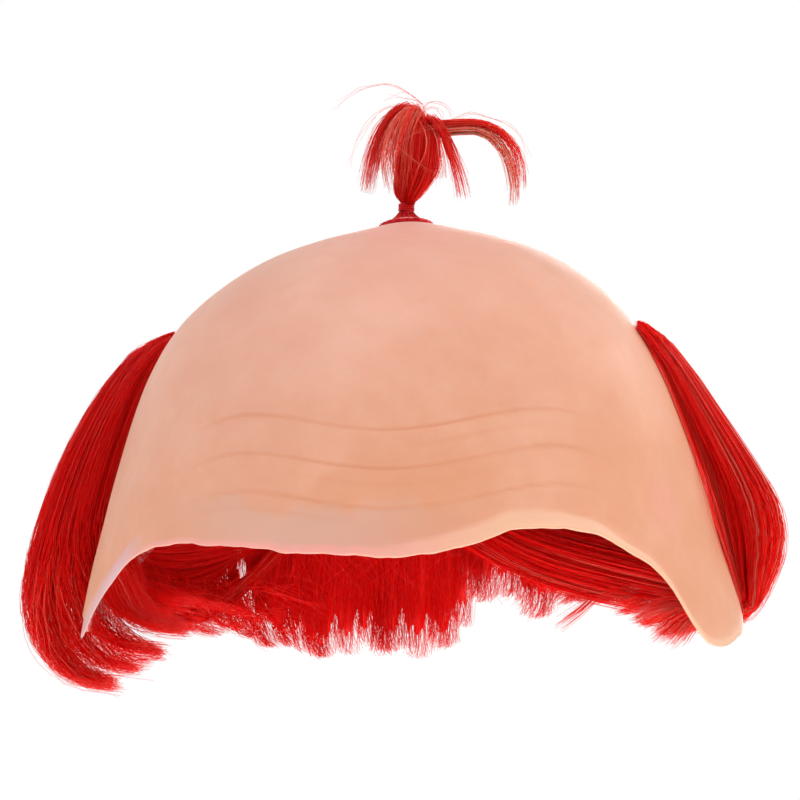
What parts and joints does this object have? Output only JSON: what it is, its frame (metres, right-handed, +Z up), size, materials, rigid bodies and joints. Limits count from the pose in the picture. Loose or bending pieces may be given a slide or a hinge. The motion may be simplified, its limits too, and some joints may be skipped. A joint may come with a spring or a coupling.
{
  "type": "bald cap",
  "caption": "Costume bald cap: thin moulded latex crown with brow wrinkles and temple tabs, red synthetic hair fringe round the sides and back, and a tied topknot plume.",
  "frame": {"origin": "the point inside the crown that rests on the top of the wearer's head", "axes": "+Z up; the forehead faces -Y; +X is on the right of someone who looks at the forehead"},
  "size_m": [0.2363, 0.2122, 0.1814],
  "materials": {
    "latex": "satin moulded latex, slightly translucent",
    "hair": "glossy synthetic fibre",
    "weft": "coiled and sewn weft",
    "plume_hair": "glossy synthetic fibre",
    "thread": "wound thread"
  },
  "bodies": {
    "root": {"latex_crown": "latex", "hair_fringe": "hair", "topknot_patch": "weft", "topknot_plume": "plume_hair", "topknot_tie": "thread"}
  },
  "joints": []
}
